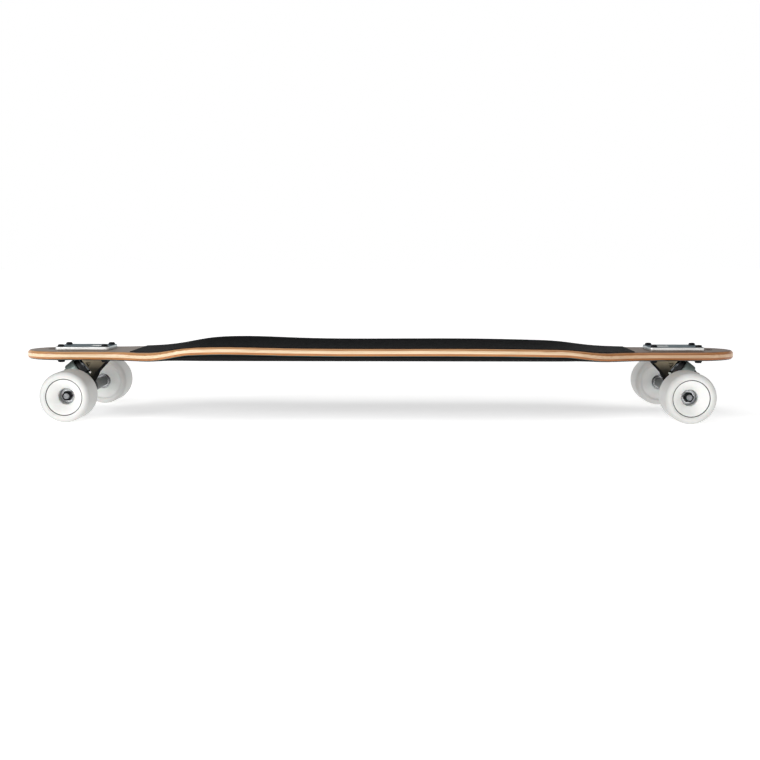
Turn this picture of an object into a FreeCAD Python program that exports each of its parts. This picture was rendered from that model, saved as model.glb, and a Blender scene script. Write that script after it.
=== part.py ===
"""Drop-through longboard: pressed maple deck, two reverse-kingpin trucks, four cast urethane wheels.

Frame: millimetres, +Z up, origin on the ground midway between the axles.
+X runs along the deck towards the tail, so the nose and the front truck lie at -X.
+Y is the rider's right.
"""
import FreeCAD
import Part
import Sketcher
import math
import os
import re
from types import SimpleNamespace
from FreeCAD import Matrix, Placement, Rotation, Vector

# Driving dimensions, in millimetres and degrees.
DIMENSIONS = {
    # deck
    "deck_length": 1027.0,
    "deck_width": 218.0,
    "deck_thickness": 12.6,
    "deck_end_round": 62.0,
    "deck_edge_round": 4.6,
    "bowl_depth": 3.5,
    "bowl_radius": 370.0,
    "bowl_flat_gap": 47.5,
    "bowl_fade": 84.5,
    "hang_hole_radius": 5.5,
    "hang_hole_reach": 51.0,
    # grip tape
    "grip_thickness": 1.0,
    "grip_inset": 6.0,
    "grip_front_gap": 38.0,
    "grip_rear_gap": 25.0,
    "glue_line": 0.05,
    # truck place
    "tip_reach": 85.5,
    "axle_drop": 56.0,
    "axle_inset": 2.0,
    # baseplate
    "plate_length": 78.0,
    "plate_width": 57.0,
    "plate_thickness": 5.5,
    "plate_corner": 5.0,
    "plate_edge_round": 1.2,
    "bolt_spacing_long": 63.5,
    "bolt_spacing_wide": 41.3,
    "bolt_radius": 2.4,
    "bolt_clearance": 0.3,
    "bolt_head_radius": 4.8,
    "bolt_head_crown": 3.4,
    "bolt_head_height": 3.0,
    "bolt_spare": 2.0,
    "nut_flats": 9.6,
    "nut_height": 4.8,
    "slot_gap": 1.6,
    "slot_front_gap": 5.0,
    "slot_corner": 5.0,
    "wedge_width": 27.0,
    "wedge_rear": 36.0,
    "wedge_drop": 12.8,
    "neck_reach": 22.0,
    "neck_drop": 24.0,
    "relief_radius": 4.6,
    "relief_depth": 3.0,
    "relief_reach": 3.4,
    "relief_drop": 20.9,
    # kingpin and bushings
    "seat_angle": 52.0,
    "ring_reach": 16.6,
    "ring_rise": 25.3,
    "seat_gap": 17.5,
    "seat_head": 14.5,
    "seat_tail": 22.3,
    "kingpin_radius": 4.76,
    "kingpin_clearance": 0.1,
    "kingpin_head_flats": 14.3,
    "kingpin_head_height": 6.0,
    "kingpin_head_seat": 34.0,
    "kingpin_spare": 2.5,
    "head_pocket_gap": 1.2,
    "kingpin_nut_height": 9.0,
    "cup_washer_thickness": 1.6,
    "cup_washer_rim": 2.2,
    "cup_washer_wall": 1.1,
    "bushing_radius": 12.6,
    "bushing_tip_radius": 10.4,
    "bushing_seat_depth": 2.0,
    "bushing_gap": 0.3,
    "roadside_height": 12.0,
    # hanger
    "steer_angle": 30.0,
    "ring_radius": 15.5,
    "ring_thickness": 16.5,
    "ring_head": 5.5,
    "ring_bore_radius": 9.0,
    "hanger_width": 160.0,
    "beam_core_radius": 5.8,
    "beam_core_width": 24.0,
    "beam_root_radius": 9.6,
    "beam_end_radius": 7.3,
    "beam_end_width": 12.0,
    "web_thickness": 8.0,
    "web_offset": 4.6,
    "web_half_width": 25.0,
    "web_ring_half_width": 12.5,
    "web_overrun": 4.0,
    "nose_root_radius": 6.0,
    "nose_root_start": 12.0,
    "nose_root_end": 19.6,
    "nose_radius": 4.0,
    "nose_end": 27.0,
    "pivot_clearance": 0.08,
    "cup_wall": 1.5,
    "cup_floor": 1.2,
    "cup_start": 20.2,
    "housing_wall": 1.75,
    "housing_floor": 1.5,
    # axle, bearings and wheel
    "axle_radius": 4.0,
    "axle_spare": 2.0,
    "fit_clearance": 0.03,
    "speed_washer_radius": 6.2,
    "speed_washer_thickness": 1.0,
    "axle_nut_flats": 12.7,
    "axle_nut_height": 8.0,
    "bearing_radius": 11.0,
    "bearing_width": 7.0,
    "inner_ring_radius": 6.1,
    "outer_ring_bore": 8.9,
    "race_groove_radius": 2.16,
    "ball_radius": 1.98,
    "shield_thickness": 0.4,
    "shield_gap": 0.25,
    "shield_recess": 0.3,
    "spacer_length": 10.0,
    "spacer_radius": 5.6,
    "hub_radius": 17.0,
    "hub_width": 26.0,
    "core_offset": 10.0,
    "hub_shoulder_radius": 9.2,
    "hub_groove_depth": 2.0,
    "hub_groove_width": 6.0,
    "wheel_radius": 35.0,
    "wheel_width": 50.0,
    "wheel_lip_round": 6.5,
    "wheel_dish_radius": 25.5,
    "wheel_dish_depth": 1.2,
    "wheel_dish_slope": 2.0,
    "wheel_cone_depth": 13.0,
    "wheel_mouth_radius": 11.3,
    # one overrun for every cut
    "overrun": 5.0,
}

BALLS_PER_BEARING = 7
HEX_SIDES = 6
TRIANGLE_SIDES = 3
FULL_TURN = 360.0
QUARTER_TURN = 90.0
HALF_TURN = 180.0

# Deck outline: stations along the half length (nose is negative) and half widths there.
RAIL_STATION_SHARES = (-0.77, -0.70, -0.585, -0.455, -0.235, 0.04, 0.29, 0.49, 0.585, 0.68, 0.77)
RAIL_WIDTH_SHARES = (0.468, 0.535, 0.815, 0.995, 0.935, 0.905, 0.905, 0.84, 0.755, 0.535, 0.455)
END_WIDTH_SHARES = (0.455, 0.445)
# Spans of the pressed surface along the deck.
BOWL_SPANS = 48
# Spans of each rounded tip, and spans of the outline joined into one edge.
TIP_SPANS = 12
OUTLINE_STEP = 4

ORIGIN = Vector(0, 0, 0)
X_AXIS = Vector(1, 0, 0)
Y_AXIS = Vector(0, 1, 0)
Z_AXIS = Vector(0, 0, 1)

doc = FreeCAD.newDocument("longboard")
sheet = doc.addObject("Spreadsheet::Sheet", "Dimensions")
for row, (alias, value) in enumerate(DIMENSIONS.items(), start=1):
    sheet.set(f"A{row}", alias)
    sheet.set(f"B{row}", str(value))
    sheet.setAlias(f"B{row}", alias)
doc.recompute()

aliases = {alias: f"Dimensions.{alias}" for alias in DIMENSIONS}
size = SimpleNamespace(**{alias: float(sheet.get(alias)) for alias in DIMENSIONS})
nodes = []


def cell(formula):
    """Turn a formula in plain size names into an expression on the sheet."""
    return re.sub(r"[a-z_]+", lambda word: aliases.get(word.group(), word.group()), formula)


def new_body(label, placement=None):
    """Start one sub-part."""
    body = doc.addObject("PartDesign::Body", label)
    body.Label = label
    body.Placement = placement or Placement()
    nodes.append(body)
    return body


def add_round(body, kind, radius, height, start, axis):
    """A round bar, added or cut, that runs from start along axis."""
    bar = body.newObject(f"PartDesign::{kind}Cylinder", "bar")
    bar.setExpression("Radius", cell(radius))
    bar.setExpression("Height", cell(height))
    bar.Placement = Placement(start, Rotation(Z_AXIS, axis))
    return bar


def add_cone(body, radius, tip_radius, height, start, axis):
    """A tapered round bar from start along axis."""
    cone = body.newObject("PartDesign::AdditiveCone", "taper")
    cone.setExpression("Radius1", cell(radius))
    cone.setExpression("Radius2", cell(tip_radius))
    cone.setExpression("Height", cell(height))
    cone.Placement = Placement(start, Rotation(Z_AXIS, axis))
    return cone


def add_prism(body, kind, sides, circumradius, height, start, axis):
    """A bar of regular section, added or cut, that runs from start along axis."""
    bar = body.newObject(f"PartDesign::{kind}Prism", "prism")
    bar.Polygon = sides
    bar.setExpression("Circumradius", cell(circumradius))
    bar.setExpression("Height", cell(height))
    bar.Placement = Placement(start, Rotation(Z_AXIS, axis))
    return bar


def add_sketch(body, role, corners, offset=None):
    """A closed outline on one of the body's own planes, every corner bound to the sheet."""
    sketch = body.newObject("Sketcher::SketchObject", "outline")
    plane = [feature for feature in body.Origin.OriginFeatures if feature.Role == role][0]
    sketch.AttachmentSupport = [(plane, "")]
    sketch.MapMode = "FlatFace"
    sketch.AttachmentOffset = offset or Placement()
    count = len(corners)
    turns = [2 * math.pi * index / count for index in range(count)]
    ring = [Vector(math.cos(turn), math.sin(turn), 0) for turn in turns]
    for index in range(count):
        sketch.addGeometry(Part.LineSegment(ring[index], ring[(index + 1) % count]), False)
    for index in range(count):
        sketch.addConstraint(Sketcher.Constraint("Coincident", index, 2, (index + 1) % count, 1))
    for index, (across, along) in enumerate(corners):
        bound = sketch.addConstraint(Sketcher.Constraint("DistanceX", -1, 1, index, 1, ring[index].x))
        sketch.setExpression(f"Constraints[{bound}]", cell(across))
        bound = sketch.addConstraint(Sketcher.Constraint("DistanceY", -1, 1, index, 1, ring[index].y))
        sketch.setExpression(f"Constraints[{bound}]", cell(along))
    return sketch


def turn(body, corners):
    """Turn an outline of (radius, height) corners about the body's Y axis."""
    sketch = add_sketch(body, "XY_Plane", corners)
    turned = body.newObject("PartDesign::Revolution", "turned")
    turned.Profile = sketch
    turned.ReferenceAxis = (sketch, ["V_Axis"])
    turned.Angle = FULL_TURN
    return turned


def pad(body, kind, role, corners, width, offset=None):
    """Thicken an outline evenly to both sides of its plane: Pad adds, Pocket cuts."""
    sketch = add_sketch(body, role, corners, offset)
    slab = body.newObject(f"PartDesign::{kind}", "slab")
    slab.Profile = sketch
    slab.Midplane = True
    slab.setExpression("Length", cell(width))
    return slab


def round_edges(body, radius, chosen):
    """Fillet the edges of the body's tip whose curve passes the chosen test."""
    doc.recompute()
    tip = body.Tip
    names = [f"Edge{number}" for number, edge in enumerate(tip.Shape.Edges, start=1) if chosen(edge)]
    fillet = body.newObject("PartDesign::Fillet", "rounding")
    fillet.Base = (tip, names)
    fillet.setExpression("Radius", cell(radius))
    return fillet


# Heights and places that several pieces share.
deck_top = size.wheel_radius + size.axle_drop
half_length = size.deck_length / 2
half_width = size.deck_width / 2
truck_centre = half_length - size.tip_reach
axle_place = truck_centre - size.axle_inset
plate_inner = truck_centre - size.plate_length / 2


# Deck: a laminate pressed into a shallow bowl between flat ends, then cut to its outline.
def bowl_share(along):
    """How far the bowl is developed at a place along the deck: 1 in the middle, 0 on the flat ends."""
    fade = (plate_inner - size.bowl_flat_gap - abs(along)) / size.bowl_fade
    fade = min(max(fade, 0.0), 1.0)
    return fade * fade * (3 - 2 * fade)


def mould_face(height, radius):
    """The pressed surface: flat at height on the ends, a trough of the given radius between them."""
    reach = half_length + size.overrun
    wide = half_width + size.overrun
    knots = [reach * (2 * index / BOWL_SPANS - 1) for index in range(BOWL_SPANS + 1)]
    full = [knots[0]] * 3 + knots + [knots[-1]] * 3
    poles = []
    for index in range(BOWL_SPANS + 3):
        along = sum(full[index + 1:index + 4]) / 3
        share = bowl_share(along)
        floor = height - share * size.bowl_depth
        rise = share * wide * wide / (2 * radius)
        poles.append([Vector(along, -wide, floor + rise), Vector(along, 0, floor - rise),
                      Vector(along, wide, floor + rise)])
    surface = Part.BSplineSurface()
    knot_counts = [4] + [1] * (BOWL_SPANS - 1) + [4]
    surface.buildFromPolesMultsKnots(poles, knot_counts, [3, 3], knots, [-wide, wide], False, False, 3, 2)
    return surface.toShape()


def outline_face(inset):
    """The deck's plan at a given distance inside its edge: one smooth closed curve round rails and tips."""
    end = half_length - size.deck_end_round
    stations = [-end] + [share * half_length for share in RAIL_STATION_SHARES] + [end]
    shares = (END_WIDTH_SHARES[0],) + RAIL_WIDTH_SHARES + (END_WIDTH_SHARES[1],)
    rail = [(x, share * half_width - inset) for x, share in zip(stations, shares)]
    reach = size.deck_end_round - inset
    turns = [math.pi * (index / TIP_SPANS - 0.5) for index in range(1, TIP_SPANS)]
    points = [Vector(x, -y, 0) for x, y in rail]
    points += [Vector(end + reach * math.cos(turn), rail[-1][1] * math.sin(turn), 0) for turn in turns]
    points += [Vector(x, y, 0) for x, y in reversed(rail)]
    points += [Vector(-end - reach * math.cos(turn), -rail[0][1] * math.sin(turn), 0) for turn in turns]
    curve = Part.BSplineCurve()
    curve.interpolate(Points=points, PeriodicFlag=True)
    knots = curve.getKnots()
    breaks = list(range(0, len(knots), OUTLINE_STEP))
    edges = [curve.toShape(knots[low], knots[high]) for low, high in zip(breaks, breaks[1:])]
    return Part.Face(Part.Wire(edges))


def shape_object(name, shape):
    """A free-form face or wire of the document."""
    item = doc.addObject("Part::Feature", name)
    item.Shape = shape
    return item


def extrude(name, base, length):
    """A face carried straight up, or down for a negative length."""
    item = doc.addObject("Part::Extrusion", name)
    item.Base = base
    item.DirMode = "Custom"
    item.Dir = Z_AXIS
    item.setExpression("LengthFwd", cell(length))
    item.Solid = True
    return item


def cut(name, base, tool):
    """Base with tool taken away."""
    item = doc.addObject("Part::Cut", name)
    item.Base = base
    item.Tool = tool
    return item


def pressed_sheet(name, inset, low, low_radius, high, high_radius):
    """The outline's prism between two pressed surfaces."""
    outline = shape_object(f"{name}_outline", outline_face(inset))
    prism = extrude(f"{name}_blank", outline, "deck_width")
    above = extrude(f"{name}_above", shape_object(f"{name}_top", mould_face(high, high_radius)), "deck_width")
    below = extrude(f"{name}_below", shape_object(f"{name}_bottom", mould_face(low, low_radius)),
                    "0 - deck_width")
    return cut(f"{name}_pressed", cut(f"{name}_open", prism, above), below)


def is_rim(edge, normal_limit=0.5):
    """An edge that runs along the deck's outline rather than up its side."""
    along = edge.tangentAt((edge.FirstParameter + edge.LastParameter) / 2)
    return abs(along.z) < normal_limit


pressed = pressed_sheet("deck", 0.0, deck_top - size.deck_thickness, size.bowl_radius + size.deck_thickness,
                        deck_top, size.bowl_radius)
doc.recompute()
rounded = doc.addObject("Part::Fillet", "deck_rounded")
rounded.Base = pressed
rounded.Edges = [(number, size.deck_edge_round, size.deck_edge_round)
                 for number, edge in enumerate(pressed.Shape.Edges, start=1) if is_rim(edge)]

# Cut-outs in each flat end: the truck's slot, four bolt holes and a hanging hole.
wedge_front = size.axle_inset - size.ring_reach
wedge_front += size.seat_gap * math.sin(math.radians(size.seat_angle))
wedge_front -= size.seat_head * math.cos(math.radians(size.seat_angle))
cutters = []


def drill(x, y, radius):
    """A hole straight through the deck's flat end."""
    hole = doc.addObject("Part::Cylinder", "hole")
    hole.setExpression("Radius", cell(radius))
    hole.setExpression("Height", cell("deck_thickness + 2 * overrun"))
    hole.Placement = Placement(Vector(x, y, deck_top - size.deck_thickness - size.overrun), Rotation())
    cutters.append(hole)


for end in (-1, 1):
    inward = -end
    low = truck_centre * end + inward * (wedge_front - size.slot_front_gap)
    high = truck_centre * end + inward * (size.wedge_rear + size.slot_gap)
    slot = doc.addObject("Part::Box", "slot")
    slot.Length = abs(high - low)
    slot.setExpression("Width", cell("wedge_width + 2 * slot_gap"))
    slot.setExpression("Height", cell("deck_thickness + 2 * overrun"))
    slot.Placement = Placement(Vector(min(low, high), -size.wedge_width / 2 - size.slot_gap,
                                      deck_top - size.deck_thickness - size.overrun), Rotation())
    doc.recompute()
    eased = doc.addObject("Part::Fillet", "slot_eased")
    eased.Base = slot
    eased.Edges = [(number, size.slot_corner, size.slot_corner)
                   for number, edge in enumerate(slot.Shape.Edges, start=1)
                   if abs(edge.tangentAt(0).z) > 0.5]
    cutters.append(eased)
    for long_side in (-1, 1):
        for wide_side in (-1, 1):
            drill(truck_centre * end + long_side * size.bolt_spacing_long / 2,
                  wide_side * size.bolt_spacing_wide / 2, "bolt_radius + bolt_clearance")
    drill(end * (truck_centre + size.hang_hole_reach), 0, "hang_hole_radius")

openings = doc.addObject("Part::MultiFuse", "deck_openings")
openings.Shapes = cutters
deck = cut("deck", rounded, openings)
deck.Label = "deck"
nodes.append(deck)

# Grip tape: a sheet stuck to the bowl, cut straight across short of each truck.
sheet_low = deck_top + size.glue_line
sheet_high = sheet_low + size.grip_thickness
grip_sheet = pressed_sheet("grip", size.grip_inset, sheet_low, size.bowl_radius - size.glue_line,
                           sheet_high, size.bowl_radius - size.glue_line - size.grip_thickness)
grip_span = doc.addObject("Part::Box", "grip_span")
grip_front = plate_inner - size.grip_front_gap
grip_length = "deck_length - 2 * tip_reach - plate_length - grip_front_gap - grip_rear_gap"
grip_span.setExpression("Length", cell(grip_length))
grip_span.setExpression("Width", cell("deck_width"))
grip_span.setExpression("Height", cell("deck_width"))
grip_span.Placement = Placement(Vector(-grip_front, -half_width, 0), Rotation())
grip = doc.addObject("Part::Common", "grip_tape")
grip.Base = grip_sheet
grip.Tool = grip_span
grip.Label = "grip_tape"
nodes.append(grip)


# Truck geometry, in a frame on the deck's top at the bolt pattern's centre with x towards mid-deck.
# The steering axis meets the kingpin's axis inside the ring, at the point called the ring's centre.
SEAT_COS = "cos(seat_angle * 1 deg)"
SEAT_SIN = "sin(seat_angle * 1 deg)"
STEER_COS = "cos(steer_angle * 1 deg)"
STEER_SIN = "sin(steer_angle * 1 deg)"
RING_X = "axle_inset - ring_reach"
RING_Z = "ring_rise - axle_drop"


def off_seat(along, above):
    """A point along the seat's slope from the kingpin and above the ring's middle."""
    return (f"{RING_X} + ( {along} ) * {SEAT_COS} + ( {above} ) * {SEAT_SIN}",
            f"{RING_Z} - ( {along} ) * {SEAT_SIN} + ( {above} ) * {SEAT_COS}")


def off_steer(along, above):
    """A point along the steering axis from the ring's centre and above that axis."""
    return (f"{RING_X} + ( {along} ) * {STEER_COS} + ( {above} ) * {STEER_SIN}",
            f"{RING_Z} - ( {along} ) * {STEER_SIN} + ( {above} ) * {STEER_COS}")


seat_turn = math.radians(size.seat_angle)
steer_turn = math.radians(size.steer_angle)
down_kingpin = Vector(-math.sin(seat_turn), 0, -math.cos(seat_turn))
down_steer = Vector(math.cos(steer_turn), 0, -math.sin(steer_turn))
ring_centre = Vector(size.axle_inset - size.ring_reach, 0, size.ring_rise - size.axle_drop)
axle_centre = Vector(size.axle_inset, 0, -size.axle_drop)
cup_radius = "nose_radius + pivot_clearance + cup_wall"
cup_end = "nose_end + bushing_gap + cup_floor"
housing_radius = f"{cup_radius} + housing_wall"
bolt_places = [Vector(x * size.bolt_spacing_long / 2, y * size.bolt_spacing_wide / 2, 0)
               for x in (-1, 1) for y in (-1, 1)]
ring_tail = size.ring_thickness - size.ring_head
board_floor = size.ring_head - size.bushing_seat_depth
road_floor = ring_tail - size.bushing_seat_depth
road_top = road_floor + size.bushing_gap
road_end = road_top + size.roadside_height
nut_top = road_end + size.cup_washer_thickness
kingpin_end = nut_top + size.kingpin_nut_height + size.kingpin_spare


def on_kingpin(below):
    """The point of the kingpin's axis a given way below the ring's centre."""
    return ring_centre + down_kingpin * below


def on_steer(along):
    """The point of the steering axis a given way from the ring's centre towards the pivot."""
    return ring_centre + down_steer * along


def build_baseplate(name, place):
    """Cast plate with a wedge that reaches down through the deck to the bushing seat and the pivot cup."""
    body = new_body(f"{name}_baseplate", place)
    flange = body.newObject("PartDesign::AdditiveBox", "flange")
    flange.setExpression("Length", cell("plate_length"))
    flange.setExpression("Width", cell("plate_width"))
    flange.setExpression("Height", cell("plate_thickness"))
    flange.Placement = Placement(Vector(-size.plate_length / 2, -size.plate_width / 2, 0), Rotation())
    round_edges(body, "plate_corner", lambda edge: abs(edge.tangentAt(0).z) > 0.5)
    rim = size.plate_thickness
    round_edges(body, "plate_edge_round", lambda edge: edge.BoundBox.ZMin > rim - size.plate_edge_round)
    seat_top = off_seat("0 - seat_head", "seat_gap")
    pad(body, "Pad", "XZ_Plane",
        [(seat_top[0], "plate_thickness / 2"), seat_top, off_seat("seat_tail", "seat_gap"),
         ("wedge_rear", "0 - wedge_drop"),
         ("wedge_rear", "plate_thickness / 2")], "wedge_width")
    hook_end = f"{cup_end} + housing_floor"
    pad(body, "Pad", "XZ_Plane",
        [off_steer("cup_start", "0"), off_steer(hook_end, "0"), off_steer(hook_end, housing_radius),
         ("neck_reach", "0 - neck_drop"), off_steer("cup_start", f"2 * ( {housing_radius} )")],
        f"2 * ( {housing_radius} )")
    add_round(body, "Additive", housing_radius, f"{hook_end} - cup_start",
              on_steer(size.cup_start), down_steer)
    add_round(body, "Subtractive", f"{cup_radius} + fit_clearance", f"{cup_end} - cup_start + overrun",
              on_steer(size.cup_start - size.overrun), down_steer)
    head_top = "kingpin_head_seat + kingpin_head_height + head_pocket_gap"
    reach = "kingpin_head_flats / sqrt(3) + head_pocket_gap"
    outer = off_seat(f"0 - ( {reach} )", "kingpin_head_seat")
    inner = off_seat(reach, head_top)
    pad(body, "Pocket", "XZ_Plane",
        [(outer[0], "plate_thickness + overrun"), outer, off_seat(reach, "kingpin_head_seat"), inner,
         (inner[0], "plate_thickness + overrun")], "kingpin_head_flats + 2 * head_pocket_gap")
    add_round(body, "Subtractive", "kingpin_radius + kingpin_clearance",
              "kingpin_head_seat + overrun - seat_gap",
              on_kingpin(-size.kingpin_head_seat - size.overrun / 2), down_kingpin)
    for bolt in bolt_places:
        add_round(body, "Subtractive", "bolt_radius + bolt_clearance", "plate_thickness + 2 * overrun",
                  bolt - Z_AXIS * size.overrun, Z_AXIS)
    for side in (-1, 1):
        wall = side * (size.wedge_width / 2 - size.relief_depth)
        relief = add_prism(body, "Subtractive", TRIANGLE_SIDES, "relief_radius", "relief_depth + overrun",
                           Vector(size.axle_inset + size.relief_reach, wall, -size.relief_drop),
                           Y_AXIS * side)
        relief.Placement = Placement(relief.Placement.Base, relief.Placement.Rotation
                                     * Rotation(Z_AXIS, side * QUARTER_TURN))


def build_pivot_cup(name, place):
    """Urethane cup that carries the hanger's nose."""
    body = new_body(f"{name}_pivot_cup", place)
    add_round(body, "Additive", cup_radius, f"{cup_end} - cup_start", on_steer(size.cup_start), down_steer)
    add_round(body, "Subtractive", "nose_radius + pivot_clearance",
              "nose_end + bushing_gap + overrun - cup_start",
              on_steer(size.cup_start - size.overrun), down_steer)


def build_kingpin(name, place):
    """Hex-headed bolt and locknut that clamp the bushings and the hanger's ring to the baseplate."""
    body = new_body(f"{name}_kingpin", place)
    add_prism(body, "Additive", HEX_SIDES, "kingpin_head_flats / sqrt(3)", "kingpin_head_height",
              on_kingpin(-size.kingpin_head_seat - size.kingpin_head_height), down_kingpin)
    stem = body.newObject("PartDesign::AdditiveCylinder", "stem")
    stem.setExpression("Radius", cell("kingpin_radius"))
    stem.Height = kingpin_end + size.kingpin_head_seat
    stem.Placement = Placement(on_kingpin(-size.kingpin_head_seat), Rotation(Z_AXIS, down_kingpin))
    nut = new_body(f"{name}_kingpin_nut", place)
    add_prism(nut, "Additive", HEX_SIDES, "kingpin_head_flats / sqrt(3)", "kingpin_nut_height * 2 / 3",
              on_kingpin(nut_top), down_kingpin)
    add_round(nut, "Additive", "kingpin_head_flats / 2 - fit_clearance", "kingpin_nut_height",
              on_kingpin(nut_top), down_kingpin)
    add_round(nut, "Subtractive", "kingpin_radius + fit_clearance", "kingpin_nut_height + 2 * overrun",
              on_kingpin(nut_top - size.overrun), down_kingpin)


def along_kingpin(place, below):
    """A placement whose Y axis points down the kingpin from a point below the ring's centre."""
    return place * Placement(on_kingpin(below), Rotation(Y_AXIS, down_kingpin))


def build_bushings(name, place):
    """Two urethane bushings, one each side of the ring, and the cupped washers outside them."""
    board_height = "seat_gap - cup_washer_thickness - ring_head + bushing_seat_depth - bushing_gap"
    bore = "kingpin_radius + kingpin_clearance"
    boardside = new_body(f"{name}_boardside_bushing", along_kingpin(place, -board_floor - size.bushing_gap))
    turn(boardside, [(bore, "0"), ("bushing_radius", "0"), ("bushing_radius", f"0 - ( {board_height} )"),
                     (bore, f"0 - ( {board_height} )")])
    roadside = new_body(f"{name}_roadside_bushing", along_kingpin(place, road_top))
    turn(roadside, [(bore, "0"), ("bushing_radius", "0"), ("bushing_radius", "bushing_seat_depth"),
                    ("bushing_tip_radius", "roadside_height"), (bore, "roadside_height")])
    washers = new_body(f"{name}_cup_washers", along_kingpin(place, 0))
    taper = "( bushing_radius - bushing_tip_radius ) / ( roadside_height - bushing_seat_depth )"
    road_seat = "ring_thickness - ring_head - bushing_seat_depth + bushing_gap + roadside_height"
    cups = (("0 - seat_gap", "+", "bushing_radius + bushing_gap"),
            (f"{road_seat} + cup_washer_thickness", "-",
             f"bushing_tip_radius + {taper} * cup_washer_rim + bushing_gap"))
    for seat, way, inside in cups:
        outside = f"{inside} + cup_washer_wall"
        floor = f"{seat} {way} cup_washer_thickness"
        lip = f"{floor} {way} cup_washer_rim"
        turn(washers, [(bore, seat), (outside, seat), (outside, lip), (inside, lip), (inside, floor),
                       (bore, floor)])


def build_bolts(name, place):
    """Four pan-head bolts down through plate and deck, with locknuts underneath."""
    bolts = new_body(f"{name}_mounting_bolts", place)
    nuts = new_body(f"{name}_mounting_nuts", place)
    under = Z_AXIS * -size.deck_thickness
    for bolt in bolt_places:
        add_round(bolts, "Additive", "bolt_radius",
                  "plate_thickness + deck_thickness + nut_height + bolt_spare",
                  bolt + under - Z_AXIS * (size.nut_height + size.bolt_spare), Z_AXIS)
        add_cone(bolts, "bolt_head_radius", "bolt_head_crown", "bolt_head_height",
                 bolt + Z_AXIS * size.plate_thickness, Z_AXIS)
        add_prism(nuts, "Additive", HEX_SIDES, "nut_flats / sqrt(3)", "nut_height",
                  bolt + under - Z_AXIS * size.nut_height, Z_AXIS)
        add_round(nuts, "Subtractive", "bolt_radius + fit_clearance", "nut_height + 2 * overrun",
                  bolt + under - Z_AXIS * (size.nut_height + size.overrun), Z_AXIS)


def build_hanger(name, place):
    """Cast hanger: tapered axle beam, bushing ring on the kingpin and pivot nose, joined by a web."""
    body = new_body(f"{name}_hanger", place * Placement(axle_centre, Rotation()))
    ring = ring_centre - axle_centre
    core = "beam_core_width / 2"
    end = "hanger_width / 2"
    sides = [("beam_core_radius", core), ("beam_root_radius", core),
             ("beam_end_radius", f"{end} - beam_end_width"), ("beam_end_radius", end), ("axle_radius", end)]
    turn(body, [(radius, f"0 - ( {place} )") for radius, place in reversed(sides)] + sides)
    add_round(body, "Additive", "ring_radius", "ring_thickness",
              ring - down_kingpin * size.ring_head, down_kingpin)
    along = f"ring_reach * {SEAT_COS} + ring_rise * {SEAT_SIN} + web_overrun"
    plane = Placement(ring + down_kingpin * size.web_offset, Rotation(Y_AXIS, size.seat_angle))
    pad(body, "Pad", "XY_Plane",
        [("0", "0 - web_ring_half_width"), (along, "0 - web_half_width"), (along, "web_half_width"),
         ("0", "web_ring_half_width")], "web_thickness", plane)
    add_cone(body, "nose_root_radius", "nose_root_radius * 3 / 4", "nose_root_end - nose_root_start",
             ring + down_steer * size.nose_root_start, down_steer)
    add_round(body, "Additive", "nose_radius", "nose_end - nose_root_start",
              ring + down_steer * size.nose_root_start, down_steer)
    add_round(body, "Subtractive", "ring_bore_radius", "ring_thickness + 2 * overrun",
              ring - down_kingpin * (size.ring_head + size.overrun), down_kingpin)
    for side, floor in ((-1, board_floor), (1, road_floor)):
        add_round(body, "Subtractive", "bushing_radius + bushing_gap", "seat_gap",
                  ring + down_kingpin * (side * floor), down_kingpin * side)
    add_round(body, "Subtractive", "axle_radius", "hanger_width + 2 * overrun",
              Y_AXIS * (-size.hanger_width / 2 - size.overrun), Y_AXIS)


# Places along the axle, from mid-truck outwards.
inner_face = size.hanger_width / 2 + size.speed_washer_thickness
stack = 2 * size.bearing_width + size.spacer_length
outer_face = inner_face + stack
wheel_centre = inner_face + stack / 2 + size.core_offset
nut_face = outer_face + size.speed_washer_thickness
axle_half = nut_face + size.axle_nut_height + size.axle_spare


def build_axle(name, place):
    """Steel axle through the beam, with speed washers and locknuts."""
    centre = place * Placement(axle_centre, Rotation())
    axle = new_body(f"{name}_axle", centre)
    rod = axle.newObject("PartDesign::AdditiveCylinder", "rod")
    rod.setExpression("Radius", cell("axle_radius - fit_clearance"))
    rod.Height = 2 * axle_half
    rod.Placement = Placement(Y_AXIS * -axle_half, Rotation(Z_AXIS, Y_AXIS))
    nuts = new_body(f"{name}_axle_nuts", centre)
    washers = new_body(f"{name}_speed_washers", centre)
    for side in (-1, 1):
        outward = Y_AXIS * side
        add_prism(nuts, "Additive", HEX_SIDES, "axle_nut_flats / sqrt(3)", "axle_nut_height * 2 / 3",
                  outward * nut_face, outward)
        add_round(nuts, "Additive", "axle_nut_flats / 2 - fit_clearance", "axle_nut_height",
                  outward * nut_face, outward)
        add_round(nuts, "Subtractive", "axle_radius", "axle_nut_height + 2 * overrun",
                  outward * (nut_face - size.overrun), outward)
        for face in (size.hanger_width / 2, outer_face):
            add_round(washers, "Additive", "speed_washer_radius", "speed_washer_thickness",
                      outward * face, outward)
            add_round(washers, "Subtractive", "axle_radius", "speed_washer_thickness + 2 * fit_clearance",
                      outward * (face - size.fit_clearance), outward)


# Half the gap between the two bearings of a wheel, and the bearing's middle, from the wheel's centre.
NEAR = "spacer_length / 2"
FAR = "spacer_length / 2 + bearing_width"
MIDDLE = "spacer_length / 2 + bearing_width / 2"
GROOVE = "race_groove_radius"
PITCH = "( inner_ring_radius + outer_ring_bore ) / 2"
bearing_middle = size.spacer_length / 2 + size.bearing_width / 2
pitch_radius = (size.inner_ring_radius + size.outer_ring_bore) / 2


def mirror_places(places, side):
    """Corners of an outline turned about the wheel's middle plane."""
    if side > 0:
        return places
    return [(radius, f"0 - ( {height} )") for radius, height in places]


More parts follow.
